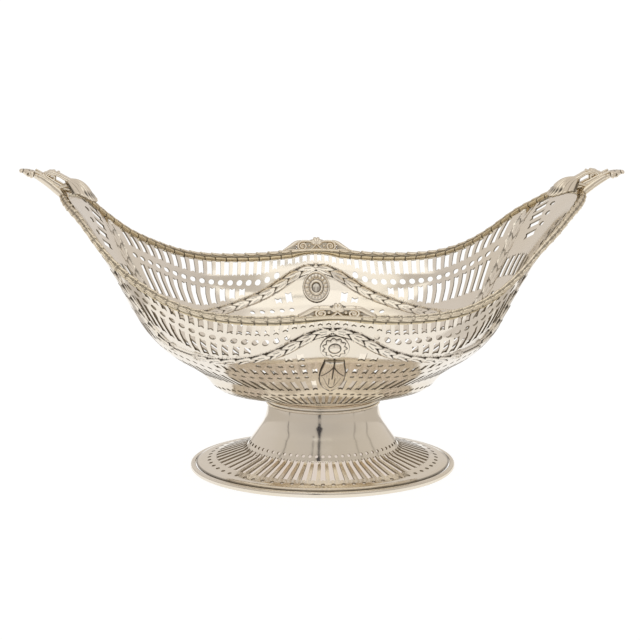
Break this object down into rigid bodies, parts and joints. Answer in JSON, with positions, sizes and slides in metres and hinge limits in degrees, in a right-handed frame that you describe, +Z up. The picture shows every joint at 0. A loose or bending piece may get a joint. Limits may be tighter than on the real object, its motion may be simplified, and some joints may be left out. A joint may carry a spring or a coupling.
{
  "type": "silver bread basket",
  "caption": "Boat-shaped pierced silver bread basket on an oval pierced foot, with laurel borders, shell crests and cast leaf-and-scroll handles at both ends.",
  "frame": {"origin": "middle of the underside of the foot's rim wire, on the surface that the basket stands on", "axes": "+Z up, +X along the basket towards one handle, +Y towards one long side"},
  "size_m": [0.35, 0.1896, 0.1797],
  "materials": {
    "bowl_silver": "polished raised silver sheet, pierced and chased, with light oxide in the chased lines",
    "foot_silver": "polished raised silver sheet, pierced",
    "wire_silver": "drawn silver wire and moulding, polished",
    "cast_silver": "cast and chased silver, with dark oxide in the recesses"
  },
  "bodies": {
    "root": {"bowl": "bowl_silver", "foot": "foot_silver", "foot_rim_wire": "wire_silver", "stem_ring": "wire_silver", "border_front_left": "cast_silver", "border_front_right": "cast_silver", "border_back_left": "cast_silver", "border_back_right": "cast_silver", "crest_front": "cast_silver", "crest_back": "cast_silver", "handle_left": "cast_silver", "handle_right": "cast_silver"}
  },
  "joints": []
}
